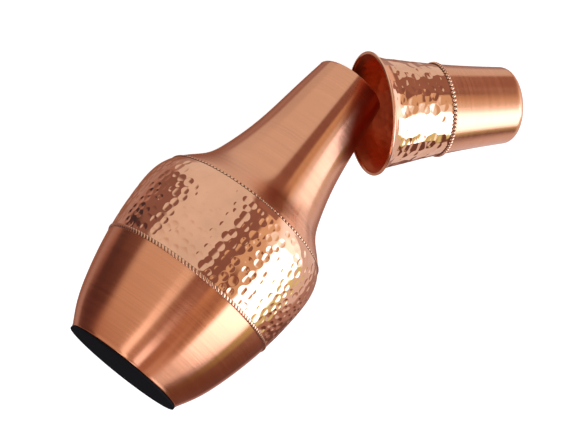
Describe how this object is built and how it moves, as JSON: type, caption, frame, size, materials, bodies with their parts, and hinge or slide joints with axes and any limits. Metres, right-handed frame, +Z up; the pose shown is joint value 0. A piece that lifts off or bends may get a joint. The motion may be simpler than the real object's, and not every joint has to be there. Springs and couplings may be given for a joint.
{
  "type": "water jug with cup",
  "caption": "Copper water jug with a hammered belly band, bead lines and a tapered neck, lying on its side with its flared drinking cup beside the mouth.",
  "frame": {"origin": "centre of the bounding box in plan, on the floor the jug and the cup lie on", "axes": "+X along the jug's neck seen from above, base to mouth; +Z up"},
  "size_m": [0.3152, 0.1666, 0.1329],
  "materials": {
    "satin_copper": "satin, fine marks running round the piece; the metal is copper",
    "polished_copper": "mirror polished and hammered; the metal is copper",
    "beaded_copper": "polished beads with dark grooves; the metal is copper",
    "pad": "smooth satin black"
  },
  "bodies": {
    "jug": {"base_pad": "pad", "lower_bowl": "satin_copper", "lower_bead_wire": "beaded_copper", "hammered_belly": "polished_copper", "upper_bead_wire": "beaded_copper", "shoulder_neck": "satin_copper"},
    "cup": {"cup_hammered_wall": "polished_copper", "cup_bead_wire": "beaded_copper", "cup_lower_wall": "satin_copper"}
  },
  "joints": [
    {"name": "cup_slide", "type": "slide", "parent": "jug", "child": "cup", "axis": [0.7121, -0.702, 0], "range_m": [0, 0.15]}
  ]
}
